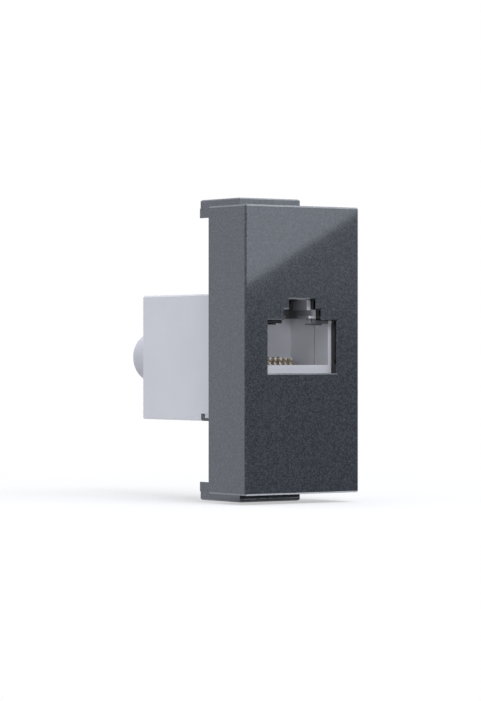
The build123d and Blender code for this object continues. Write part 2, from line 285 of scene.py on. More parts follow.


# Painted shade: recesses whose finish is darkened towards nearly black, standing in for the shade
# that falls in them.
# Painted shade in the latch channel, deepening towards its end.
LATCH_CHANNEL_PAINTED_SHADE = PaintedShadeZone(
    low_mm=(-3.2, -8.2, 4.6),
    high_mm=(3.2, -1.9, 8.3),
    colour="#454549",
    light_y_mm=-9.5,
    dark_y_mm=-4.0,
)
# Painted shade on the left half of the latch catch.
LEFT_CATCH_PAINTED_SHADE = PaintedShadeZone(
    low_mm=(-3.6, -8.7, 4.2),
    high_mm=(0.0, -5.0, 8.3),
    colour="#38383b",
    light_y_mm=-9.5,
    dark_y_mm=-9.4,
)
# Painted shade on the latch guide's left shoulder.
LEFT_SHOULDER_PAINTED_SHADE = PaintedShadeZone(
    low_mm=(-6.5, -8.7, 2.5),
    high_mm=(-2.0, -5.0, 8.3),
    colour="#0e0e10",
    light_y_mm=-9.5,
    dark_y_mm=-9.4,
)
# Painted shade on the reveals of the cover's window.
WINDOW_REVEALS_PAINTED_SHADE = PaintedShadeZone(
    low_mm=(-7.2, -9.8, -4.0),
    high_mm=(7.2, -8.4, 8.3),
    colour="#08090a",
    light_y_mm=-9.8,
    dark_y_mm=-9.7,
)


@dataclass(frozen=True)
class MouldedPlastic:
    """Injection-moulded plastic from a polished or finely eroded mould.

    The eye gets an even tone with a clear gloss, a slow mottle where the melt flowed, and a faint
    unevenness that softens what the surface mirrors.
    """

    name: str
    colour: str
    shade: str
    roughness: float
    ior: float = 1.53  # ABS and polycarbonate lie between 1.53 and 1.58
    mottle_mm: float = 7.0
    grain_mm: float = 0.22  # real grain is about 0.02 mm, drawn as coarse as it needs to show
    grain_height_mm: float = 0.0012
    roughness_swing: float = 0.1
    # Painted shade: regions where the finish is darkened to stand in for shade in recesses.
    painted_shade_zones: tuple[PaintedShadeZone, ...] = ()
    coat: float = 0.0
    coat_roughness: float = 0.02
    coat_ior: float = 1.6

    def tone(
        self, tree: bpy.types.NodeTree, place: bpy.types.NodeSocket
    ) -> bpy.types.NodeSocket:
        """Mottles the colour and paints shade into its recesses.

        Args:
            tree: Node tree of the material.
            place: Object coordinates.

        Returns:
            The finish's colour.
        """
        mottle = add_node(
            tree,
            "ShaderNodeTexNoise",
            {"Scale": per_mm(self.mottle_mm), "Detail": 2.0, "Roughness": 0.5},
            {"Vector": place},
        )
        low, high = NOISE_SPREAD
        tone = add_node(
            tree,
            "ShaderNodeValToRGB",
            {"stops": [(low, linear(self.shade)), (high, linear(self.colour))]},
            {"Fac": mottle.outputs["Fac"]},
        ).outputs["Color"]
        for painted_shade_zone in self.painted_shade_zones:
            tone = painted_shade_zone.apply(tree, place, tone)
        return tone

    def make(self) -> bpy.types.Material:
        """Builds the material.

        Returns:
            The new material.
        """
        material, tree, place = new_material(self.name)
        tone = self.tone(tree, place)
        grain = add_node(
            tree,
            "ShaderNodeTexNoise",
            {"Scale": per_mm(self.grain_mm), "Detail": 2.0, "Roughness": 0.6},
            {"Vector": place},
        )
        rough = add_node(
            tree,
            "ShaderNodeMapRange",
            {
                "From Min": GRAIN_SPREAD[0],
                "From Max": GRAIN_SPREAD[1],
                "To Min": self.roughness * (1 - self.roughness_swing),
                "To Max": self.roughness * (1 + self.roughness_swing),
            },
            {"Value": grain.outputs["Fac"]},
        )
        relief = add_node(
            tree,
            "ShaderNodeBump",
            {"Strength": 1.0, "Distance": self.grain_height_mm * MM},
            {"Height": grain.outputs["Fac"]},
        )
        shader = add_node(
            tree,
            "ShaderNodeBsdfPrincipled",
            {
                "IOR": self.ior,
                "Coat Weight": self.coat,
                "Coat Roughness": self.coat_roughness,
                "Coat IOR": self.coat_ior,
            },
            {
                "Base Color": tone,
                "Roughness": rough.outputs["Result"],
                "Normal": relief.outputs["Normal"],
            },
        )
        close_material(tree, shader)
        return material


@dataclass(frozen=True)
class MetallicLacquer:
    """Graphite lacquer, sprayed: dark base coat with aluminium flakes under a smooth clear coat.

    The eye gets a dark body with a fine sparkle, and a sharp soft-edged mirror image of the studio
    on top of it.
    """

    name: str = "sprayed_graphite_metallic_lacquer"
    body: str = "#42464b"
    dark_flake: str = "#35383c"
    bright_flake: str = "#52565c"
    flake_mm: float = 0.17  # real flake is about 0.03 mm, drawn coarse enough to show
    flake_tilt: float = 0.16
    metallic: float = 0.35
    roughness: float = 0.5
    coat_roughness: float = 0.04
    ior: float = 1.5
    # Painted shade: the window's reveals turn near black.
    painted_shade_zone: PaintedShadeZone = WINDOW_REVEALS_PAINTED_SHADE

    def flake_normal(
        self, tree: bpy.types.NodeTree, flakes: bpy.types.Node
    ) -> bpy.types.NodeSocket:
        """Tilts each flake a little its own way.

        Args:
            tree: Node tree of the material.
            flakes: Voronoi node with one random colour for each flake.

        Returns:
            The tilted normal.
        """
        centred = add_node(
            tree,
            "ShaderNodeVectorMath",
            {"operation": "SUBTRACT", 1: (0.5, 0.5, 0.5)},
            {0: flakes.outputs["Color"]},
        )
        tilt = add_node(
            tree,
            "ShaderNodeVectorMath",
            {"operation": "SCALE", "Scale": self.flake_tilt},
            {0: centred.outputs["Vector"]},
        )
        facing = add_node(tree, "ShaderNodeNewGeometry")
        tilted = add_node(
            tree,
            "ShaderNodeVectorMath",
            {"operation": "ADD"},
            {0: facing.outputs["Normal"], 1: tilt.outputs["Vector"]},
        )
        normal = add_node(
            tree,
            "ShaderNodeVectorMath",
            {"operation": "NORMALIZE"},
            {0: tilted.outputs["Vector"]},
        )
        return normal.outputs["Vector"]

    def make(self) -> bpy.types.Material:
        """Builds the material.

        Returns:
            The new material.
        """
        material, tree, place = new_material(self.name)
        flakes = add_node(
            tree,
            "ShaderNodeTexVoronoi",
            {"feature": "F1", "Scale": per_mm(self.flake_mm), "Randomness": 1.0},
            {"Vector": place},
        )
        parts = add_node(tree, "ShaderNodeSeparateColor", links={"Color": flakes.outputs["Color"]})
        tone = add_node(
            tree,
            "ShaderNodeValToRGB",
            {
                "stops": [
                    (0.0, linear(self.dark_flake)),
                    (0.5, linear(self.body)),
                    (1.0, linear(self.bright_flake)),
                ]
            },
            {"Fac": parts.outputs["Red"]},
        )
        shader = add_node(
            tree,
            "ShaderNodeBsdfPrincipled",
            {
                "Metallic": self.metallic,
                "IOR": self.ior,
                "Roughness": self.roughness,
                "Specular IOR Level": 0.0,
                "Coat Weight": 1.0,
                "Coat Roughness": self.coat_roughness,
                "Coat IOR": self.ior,
            },
            {
                "Base Color": self.painted_shade_zone.apply(tree, place, tone.outputs["Color"]),
                "Normal": self.flake_normal(tree, flakes),
            },
        )
        close_material(tree, shader)
        return material


@dataclass(frozen=True)
class PlatedMetal:
    """Plating on drawn wire or rolled strip: bright, with faint drawing lines along it."""

    name: str
    colour: str
    shade: str
    roughness: float
    line_mm: float = 0.1
    line_stretch: float = 0.08

    def make(self) -> bpy.types.Material:
        """Builds the material.

        Returns:
            The new material.
        """
        material, tree, place = new_material(self.name)
        stretched = add_node(
            tree,
            "ShaderNodeMapping",
            {"Scale": (1.0, self.line_stretch, 1.0)},
            {"Vector": place},
        )
        lines = add_node(
            tree,
            "ShaderNodeTexNoise",
            {"Scale": per_mm(self.line_mm), "Detail": 2.0},
            {"Vector": stretched.outputs["Vector"]},
        )
        low, high = NOISE_SPREAD
        tone = add_node(
            tree,
            "ShaderNodeValToRGB",
            {"stops": [(low, linear(self.shade)), (high, linear(self.colour))]},
            {"Fac": lines.outputs["Fac"]},
        )
        shader = add_node(
            tree,
            "ShaderNodeBsdfPrincipled",
            {"Metallic": 1.0, "Roughness": self.roughness},
            {"Base Color": tone.outputs["Color"]},
        )
        close_material(tree, shader)
        return material


@dataclass(frozen=True)
class BoardLaminate:
    """Glass-fibre laminate under green solder mask: the weave shows as a faint cross pattern."""

    name: str = "solder_masked_glass_laminate"
    colour: str = "#1f5a3b"
    shade: str = "#184a30"
    weave_mm: float = 0.5
    roughness: float = 0.3
    ior: float = 1.55

    def make(self) -> bpy.types.Material:
        """Builds the material.

        Returns:
            The new material.
        """
        material, tree, place = new_material(self.name)
        threads = [
            add_node(
                tree,
                "ShaderNodeTexWave",
                {"bands_direction": direction, "Scale": per_mm(self.weave_mm) / WAVES_PER_UNIT},
                {"Vector": place},
            )
            for direction in ("X", "Z")
        ]
        crossed = add_node(
            tree,
            "ShaderNodeMath",
            {"operation": "MULTIPLY"},
            {0: threads[0].outputs["Fac"], 1: threads[1].outputs["Fac"]},
        )
        tone = add_node(
            tree,
            "ShaderNodeValToRGB",
            {"stops": [(0.0, linear(self.shade)), (1.0, linear(self.colour))]},
            {"Fac": crossed.outputs["Value"]},
        )
        shader = add_node(
            tree,
            "ShaderNodeBsdfPrincipled",
            {"IOR": self.ior, "Roughness": self.roughness},
            {"Base Color": tone.outputs["Color"]},
        )
        close_material(tree, shader)
        return material


class Finish(Enum):
    """Every finish of the socket."""

    # Sprayed lacquer on moulded ABS: a dark sparkle below a glassy mirror image, with painted shade
    # that turns the window's reveals near black.
    GRAPHITE_LACQUER = MetallicLacquer()
    # ABS from a smooth steel mould: even light grey with a soft gloss.
    LIGHT_GREY_ABS = MouldedPlastic("moulded_light_grey_abs", "#d0d1d6", "#cccdd2", 0.16)
    # ABS from a polished mould: the port's walls mirror each other faintly, with painted shade in the
    # latch channel and on the left catch.
    CAVITY_GREY_ABS = MouldedPlastic(
        "polished_moulded_light_grey_abs",
        "#c9cacf",
        "#c5c6cb",
        0.16,
        painted_shade_zones=(LATCH_CHANNEL_PAINTED_SHADE, LEFT_CATCH_PAINTED_SHADE),
        coat=1.0,
    )
    # The same from a mirror-polished mould: the mouth shows a clear image of what is beside it, with
    # painted shade in the latch channel and on the left catch.
    MOUTH_GREY_ABS = MouldedPlastic(
        "mirror_polished_moulded_light_grey_abs",
        "#c9cacf",
        "#c5c6cb",
        0.16,
        painted_shade_zones=(LATCH_CHANNEL_PAINTED_SHADE, LEFT_CATCH_PAINTED_SHADE),
        coat=1.0,
        coat_ior=2.2,
    )
    # ABS from a spark-eroded mould: matt, so the ribs stay light between the shining wires.
    COMB_GREY_ABS = MouldedPlastic("matt_moulded_light_grey_abs", "#d4d5d9", "#cecfd3", 0.5)
    # Moulded polyamide: reads charcoal, and smooth enough to mirror the dark room, with painted shade
    # on the left shoulder.
    GUIDE_BLACK = MouldedPlastic(
        "moulded_black_polyamide", "#606064", "#55555a", 0.14, painted_shade_zones=(LEFT_SHOULDER_PAINTED_SHADE,)
    )
    # Moulded acetal: near black with a waxy sheen.
    CLIP_BLACK = MouldedPlastic("moulded_black_acetal", "#19191b", "#141416", 0.35)
    # Moulded polycarbonate: chalky white with a broad soft highlight.
    BLOCK_WHITE = MouldedPlastic(
        "moulded_white_polycarbonate", "#e4e4e0", "#dddcd8", 0.35, ior=1.58
    )
    # Thin gold on drawn bronze wire: pale warm metal with a blurred highlight.
    CONTACT_GOLD = PlatedMetal("gilded_drawn_phosphor_bronze", "#f6dfb4", "#e6cb9a", 0.38)
    # Tin on rolled bronze strip: cool grey metal, a little sharper.
    BLADE_TIN = PlatedMetal("tinned_rolled_bronze", "#d8d8d4", "#bcbcb8", 0.3)
    # Pressed laminate under cured mask: deep green with a fine woven cross.
    BOARD_GREEN = BoardLaminate()


@dataclass
class Finishes:
    """Makes each finish the first time a piece asks for it, and keeps it."""

    made: dict[Finish, bpy.types.Material] = field(default_factory=dict)

    def material(self, finish: Finish) -> bpy.types.Material:
        """Looks up the material of a finish.

        Args:
            finish: Finish that a piece wears.

        Returns:
            Its material, the same one for every piece.
        """
        if finish not in self.made:
            self.made[finish] = finish.value.make()
        return self.made[finish]


def new_object(name: str, mesh: bpy.types.Mesh) -> bpy.types.Object:
    """Puts a mesh into the scene as an object at the origin.

    Args:
        name: Object's name.
        mesh: Its mesh.

    Returns:
        The new object.
    """
    piece = bpy.data.objects.new(name, mesh)
    bpy.context.scene.collection.objects.link(piece)
    return piece


class Tree:
    """A Geometry Nodes tree under construction, with named inputs for its sizes."""

    def __init__(self, name: str) -> None:
        """Starts an empty tree.

        Args:
            name: Tree's name.
        """
        self.group = bpy.data.node_groups.new(name, "GeometryNodeTree")
        face = self.group.interface
        face.new_socket("Geometry", in_out="INPUT", socket_type="NodeSocketGeometry")
        face.new_socket("Geometry", in_out="OUTPUT", socket_type="NodeSocketGeometry")
        self.entry = self.group.nodes.new("NodeGroupInput")
        self.sizes: dict[str, float | int] = {}

    def size(self, name: str, value: float | int) -> bpy.types.NodeSocket:
        """Adds a named input.

        Args:
            name: Input's name.
            value: Value that the modifier gives it.

        Returns:
            The input's socket inside the tree.
        """
        kind = "NodeSocketInt" if isinstance(value, int) else "NodeSocketFloat"
        self.group.interface.new_socket(name, in_out="INPUT", socket_type=kind)
        self.sizes[name] = value
        return self.entry.outputs[name]

    def add(
        self, kind: str, settings: Settings | None = None, links: Links | None = None
    ) -> bpy.types.Node:
        """Adds one node to the tree."""
        return add_node(self.group, kind, settings, links)

    def finish(self, shape: bpy.types.NodeSocket, material: bpy.types.Material) -> None:
        """Ends the tree in realized, dressed geometry.

        Args:
            shape: Geometry to output.
            material: Material of all of it.
        """
        real = self.add("GeometryNodeRealizeInstances", links={"Geometry": shape})
        dressed = self.add(
            "GeometryNodeSetMaterial",
            {"Material": material},
            {"Geometry": real.outputs["Geometry"]},
        )
        self.add("NodeGroupOutput", links={0: dressed.outputs["Geometry"]})

    def make(self, name: str, seed_mesh: bpy.types.Mesh | None = None) -> bpy.types.Object:
        """Runs the tree and keeps its result as a plain mesh.

        Args:
            name: Name of the new piece.
            seed_mesh: Mesh that the tree starts from, or none.

        Returns:
            The new object, with no modifier on it.
        """
        carrier = new_object(name + "_tree", seed_mesh or bpy.data.meshes.new(name + "_seed"))
        modifier = carrier.modifiers.new("tree", "NODES")
        modifier.node_group = self.group
        for item in self.group.interface.items_tree:
            if item.in_out == "INPUT" and item.name in self.sizes:
                modifier[item.identifier] = self.sizes[item.name]
        evaluated = carrier.evaluated_get(bpy.context.evaluated_depsgraph_get())
        mesh = bpy.data.meshes.new_from_object(evaluated)
        mesh.name = name
        bpy.data.objects.remove(carrier)
        piece = new_object(name, mesh)
        LOG.info("%s has %d faces", name, len(mesh.polygons))
        return piece


@dataclass
class SubAssembly:
    """A group of pieces that is made and dressed together."""

    frame: dict
    finishes: Finishes

    def dress(self, finish: Finish, *starts: str) -> None:
        """Gives CAD nodes one finish.

        Args:
            finish: Finish that all their slots take.
            starts: Names of the nodes, or what their names start with.
        """
        material = self.finishes.material(finish)
        for name, node in self.frame["nodes"].items():
            if name.startswith(starts):
                for slot in node.material_slots:
                    slot.material = material
                LOG.info("%s wears %s", name, material.name)


@dataclass
class CableCap(SubAssembly):
    """The cap with the cable's collar, which slides off to the rear."""

    def make(self) -> None:
        """Dresses the cap."""
        self.dress(Finish.LIGHT_GREY_ABS, "rear_cap")


@dataclass
class Terminals(SubAssembly):
    """The board, with the blocks and blades that take the cable's wires."""

    def make(self) -> None:
        """Dresses the board, the blocks and the blades."""
        self.dress(Finish.BOARD_GREEN, "circuit_board")
        self.dress(Finish.BLOCK_WHITE, "terminal_block")
        self.dress(Finish.BLADE_TIN, "terminal_blade")


@dataclass
class Jack(SubAssembly):
    """The jack's moulded parts around the port."""

    def make(self) -> None:
        """Dresses the mouth, the housing, the guide, the carrier and the clip."""
        self.dress(Finish.MOUTH_GREY_ABS, "jack_front_shell")
        self.dress(Finish.CAVITY_GREY_ABS, "jack_housing")
        self.dress(Finish.LIGHT_GREY_ABS, "contact_carrier")
        self.dress(Finish.GUIDE_BLACK, "latch_guide")
        self.dress(Finish.CLIP_BLACK, "jack_clip")


@dataclass
class ContactWires(SubAssembly):
    """The jack's eight contacts as round spring wires, bent like the solids that they replace."""

    count: int = 8
    strip_thickness_mm: float = 0.3
    wire_radius_mm: float = 0.165
    arm_start_z_mm: float = -2.69
    arm_slope_deg: float = 31.0
    tip_y_mm: float = 2.45
    tip_drop_mm: float = 0.1
    bend_radius_mm: float = 0.5
    bend_steps: int = 6
    ring_steps: int = 12

    def route(self, strip: str) -> list[Vector]:
        """Works out one wire's corners at x = 0.

        Args:
            strip: Name of the contact that it stands for.

        Returns:
            The corners from the board to the tip, in metres.
        """
        half = self.strip_thickness_mm * MM / 2
        low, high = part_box(strip)
        run_z = low[2] + half
        bend_y = low[1] + half
        rest_z = high[2] - half - self.tip_drop_mm * MM
        start_z = self.arm_start_z_mm * MM
        arm_run = (rest_z - start_z) / math.tan(math.radians(self.arm_slope_deg))
        return [
            Vector((0, high[1], run_z)),
            Vector((0, bend_y, run_z)),
            Vector((0, bend_y, start_z)),
            Vector((0, bend_y + arm_run, rest_z)),
            Vector((0, self.tip_y_mm * MM, rest_z)),
        ]

    def lines(self, pair_pitch: float) -> bpy.types.Mesh:
        """Draws the first upper wire and the first lower wire as edges.

        Args:
            pair_pitch: Step from one upper wire to the next, in metres.

        Returns:
            The mesh of both lines.
        """
        first_x = sum(corner[0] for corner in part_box("contact_1")) / 2
        upper, lower = self.route("contact_1"), self.route("contact_2")
        corners = [p + Vector((first_x, 0, 0)) for p in upper]
        corners += [p + Vector((first_x + pair_pitch / 2, 0, 0)) for p in lower]
        edges = [(i, i + 1) for i in range(len(corners) - 1) if i + 1 != len(upper)]
        mesh = bpy.data.meshes.new("contact_lines")
        mesh.from_pydata(corners, edges, [])
        return mesh

    def make(self) -> None:
        """Builds the wires, one piece for all eight."""
        pair_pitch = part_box("contact_3")[0][0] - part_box("contact_1")[0][0]
        tree = Tree("contact_wires")
        radius = tree.size("Wire radius", self.wire_radius_mm * MM)
        bend = tree.size("Bend radius", self.bend_radius_mm * MM)
        pairs = tree.size("Pairs", self.count // 2)
        pitch = tree.size("Pair pitch", pair_pitch)
        line = tree.add("GeometryNodeMeshToCurve", links={"Mesh": tree.entry.outputs["Geometry"]})
        bent = tree.add(
            "GeometryNodeFilletCurve",
            {"mode": "POLY", "Count": self.bend_steps, "Limit Radius": True},
            {"Curve": line.outputs["Curve"], "Radius": bend},
        )
        ring = tree.add(
            "GeometryNodeCurvePrimitiveCircle",
            {"Resolution": self.ring_steps},
            {"Radius": radius},
        )
        wire = tree.add(
            "GeometryNodeCurveToMesh",
            {"Fill Caps": True},
            {"Curve": bent.outputs["Curve"], "Profile Curve": ring.outputs["Curve"]},
        )
        step = tree.add("ShaderNodeCombineXYZ", links={"X": pitch})
        stations = tree.add(
            "GeometryNodeMeshLine",
            links={"Count": pairs, "Offset": step.outputs["Vector"]},
        )
        copies = tree.add(
            "GeometryNodeInstanceOnPoints",
            links={"Points": stations.outputs["Mesh"], "Instance": wire.outputs["Mesh"]},
        )
        gold = self.finishes.material(Finish.CONTACT_GOLD)
        tree.finish(copies.outputs["Instances"], gold)
        wires = tree.make("contact_wires", self.lines(pair_pitch))
        for polygon in wires.data.polygons:
            polygon.use_smooth = True
        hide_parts(*[f"contact_{i}" for i in range(1, self.count + 1)])
        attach(wires, SOCKET)


@dataclass
class ContactComb(SubAssembly):
    """Ribs between the contacts' tips, which keep the springs apart in front of the back wall."""

    ribs: int = 9
    rib_width_mm: float = 0.5
    front_y_mm: float = -1.2
    back_y_mm: float = 1.45
    low_z_mm: float = -2.35
    high_z_mm: float = -1.22

    def make(self) -> None:
        """Builds the ribs, one piece for all."""
        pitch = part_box("contact_2")[0][0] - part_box("contact_1")[0][0]
        tree = Tree("contact_comb")
        width = tree.size("Rib width", self.rib_width_mm * MM)
        depth = tree.size("Rib depth", (self.back_y_mm - self.front_y_mm) * MM)
        height = tree.size("Rib height", (self.high_z_mm - self.low_z_mm) * MM)
        step = tree.size("Pitch", pitch)
        count = tree.size("Ribs", self.ribs)
        size = tree.add("ShaderNodeCombineXYZ", links={"X": width, "Y": depth, "Z": height})
        rib = tree.add("GeometryNodeMeshCube", links={"Size": size.outputs["Vector"]})
        offset = tree.add("ShaderNodeCombineXYZ", links={"X": step})
        first_rib = (
            -pitch * (self.ribs - 1) / 2,
            (self.front_y_mm + self.back_y_mm) / 2 * MM,
            (self.low_z_mm + self.high_z_mm) / 2 * MM,
        )
        row = tree.add(
            "GeometryNodeMeshLine",
            {"Start Location": first_rib},
            {"Count": count, "Offset": offset.outputs["Vector"]},
        )
        copies = tree.add(
            "GeometryNodeInstanceOnPoints",
            links={"Points": row.outputs["Mesh"], "Instance": rib.outputs["Mesh"]},
        )
        grey_abs = self.finishes.material(Finish.COMB_GREY_ABS)
        tree.finish(copies.outputs["Instances"], grey_abs)
        comb = tree.make("contact_comb")
        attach(comb, SOCKET)


@dataclass
class Cover(SubAssembly):
    """The cover and its mounting frame, with four faint marks where the mould's pins pushed."""

    marks_across_mm: float = 12.6
    marks_between_mm: float = 31.0
    marks_middle_z_mm: float = -0.4
    frame_back_y_mm: float = 0.0
    mark_radius_mm: float = 0.8
    mark_rise_mm: float = 0.02
    mark_sides: int = 32

    def make_pin_marks(self) -> None:
        """Builds the marks on the mounting frame's flat back."""
        tree = Tree("ejector_marks")
        across = tree.size("Across", self.marks_across_mm * MM)
        between = tree.size("Between", self.marks_between_mm * MM)
        radius = tree.size("Mark radius", self.mark_radius_mm * MM)
        rise = tree.size("Rise", self.mark_rise_mm * MM)
        grid = tree.add(
            "GeometryNodeMeshGrid",
            {"Vertices X": 2, "Vertices Y": 2},
            {"Size X": across, "Size Y": between},
        )
        disc = tree.add(
            "GeometryNodeMeshCylinder",
            {"Vertices": self.mark_sides},
            {"Radius": radius, "Depth": rise},
        )
        marks = tree.add(
            "GeometryNodeInstanceOnPoints",
            links={"Points": grid.outputs["Mesh"], "Instance": disc.outputs["Mesh"]},
        )
        placed = tree.add(
            "GeometryNodeTransform",
            {
                "Translation": (0.0, self.frame_back_y_mm * MM, self.marks_middle_z_mm * MM),
                "Rotation": (math.radians(90), 0.0, 0.0),
            },
            {"Geometry": marks.outputs["Instances"]},
        )
        lacquer = self.finishes.material(Finish.GRAPHITE_LACQUER)
        tree.finish(placed.outputs["Geometry"], lacquer)
        pin_marks = tree.make("ejector_marks")
        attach(pin_marks, SOCKET)

    def make(self) -> None:
        """Dresses the cover and the frame, and adds the marks."""
        self.dress(Finish.GRAPHITE_LACQUER, "front_cover", "mounting_frame")
        self.make_pin_marks()


@dataclass(frozen=True)
class Camera:
    """The photograph's camera, fitted to the cover's edges. The object's turn is its azimuth."""

    focal_px: float = 3084.0
    image_long_side_px: float = 701.0
    sensor_mm: float = 36.0
    turn_deg: float = 35.2
    corner_distance_mm: float = 475.0
    corner_right_mm: float = 0.76
    eye_height_mm: float = -0.08
    corner_mm: Point = (-11.0, -10.0, 0.0)
    nearest_m: float = 0.01
    furthest_m: float = 20.0

    def make(self) -> None:
        """Places the camera and makes it the scene's."""
        turn = math.radians(self.turn_deg)
        right = Vector((math.cos(turn), -math.sin(turn), 0.0))
        forward = Vector((math.sin(turn), math.cos(turn), 0.0))
        up = Vector((0.0, 0.0, 1.0))
        centre = Vector(self.corner_mm)
        centre -= right * self.corner_right_mm + forward * self.corner_distance_mm
        centre.z = self.eye_height_mm
        data = bpy.data.cameras.new("camera")
        data.sensor_width = self.sensor_mm
        data.lens = self.focal_px * self.sensor_mm / self.image_long_side_px
        data.clip_start = self.nearest_m
        data.clip_end = self.furthest_m
        camera = bpy.data.objects.new("camera", data)
        axes = Matrix((right, up, -forward)).transposed()
        camera.matrix_world = Matrix.Translation(centre * MM) @ axes.to_4x4()
        bpy.context.scene.collection.objects.link(camera)
        bpy.context.scene.camera = camera


@dataclass(frozen=True)
class Lamp:
    """One soft rectangular lamp."""

    name: str
    place_m: Point
    watts: float
    width_m: float
    height_m: float
    roll_deg: float = 0.0
    aim_m: Point = (0.0, 0.0, 0.0)
    tint: str = "#f8faff"

    def make(self) -> None:
        """Hangs the lamp and turns it to its aim."""
        data = bpy.data.lights.new(self.name, "AREA")
        data.shape = "RECTANGLE"
        data.energy = self.watts
        data.color = linear(self.tint)[:3]
        data.size = self.width_m
        data.size_y = self.height_m
        lamp = bpy.data.objects.new(self.name, data)
        line = Vector(self.aim_m) - Vector(self.place_m)
        aim = line.to_track_quat("-Z", "Y").to_matrix().to_4x4()
        roll = Matrix.Rotation(math.radians(self.roll_deg), 4, "Z")
        lamp.matrix_world = Matrix.Translation(self.place_m) @ aim @ roll
        bpy.context.scene.collection.objects.link(lamp)


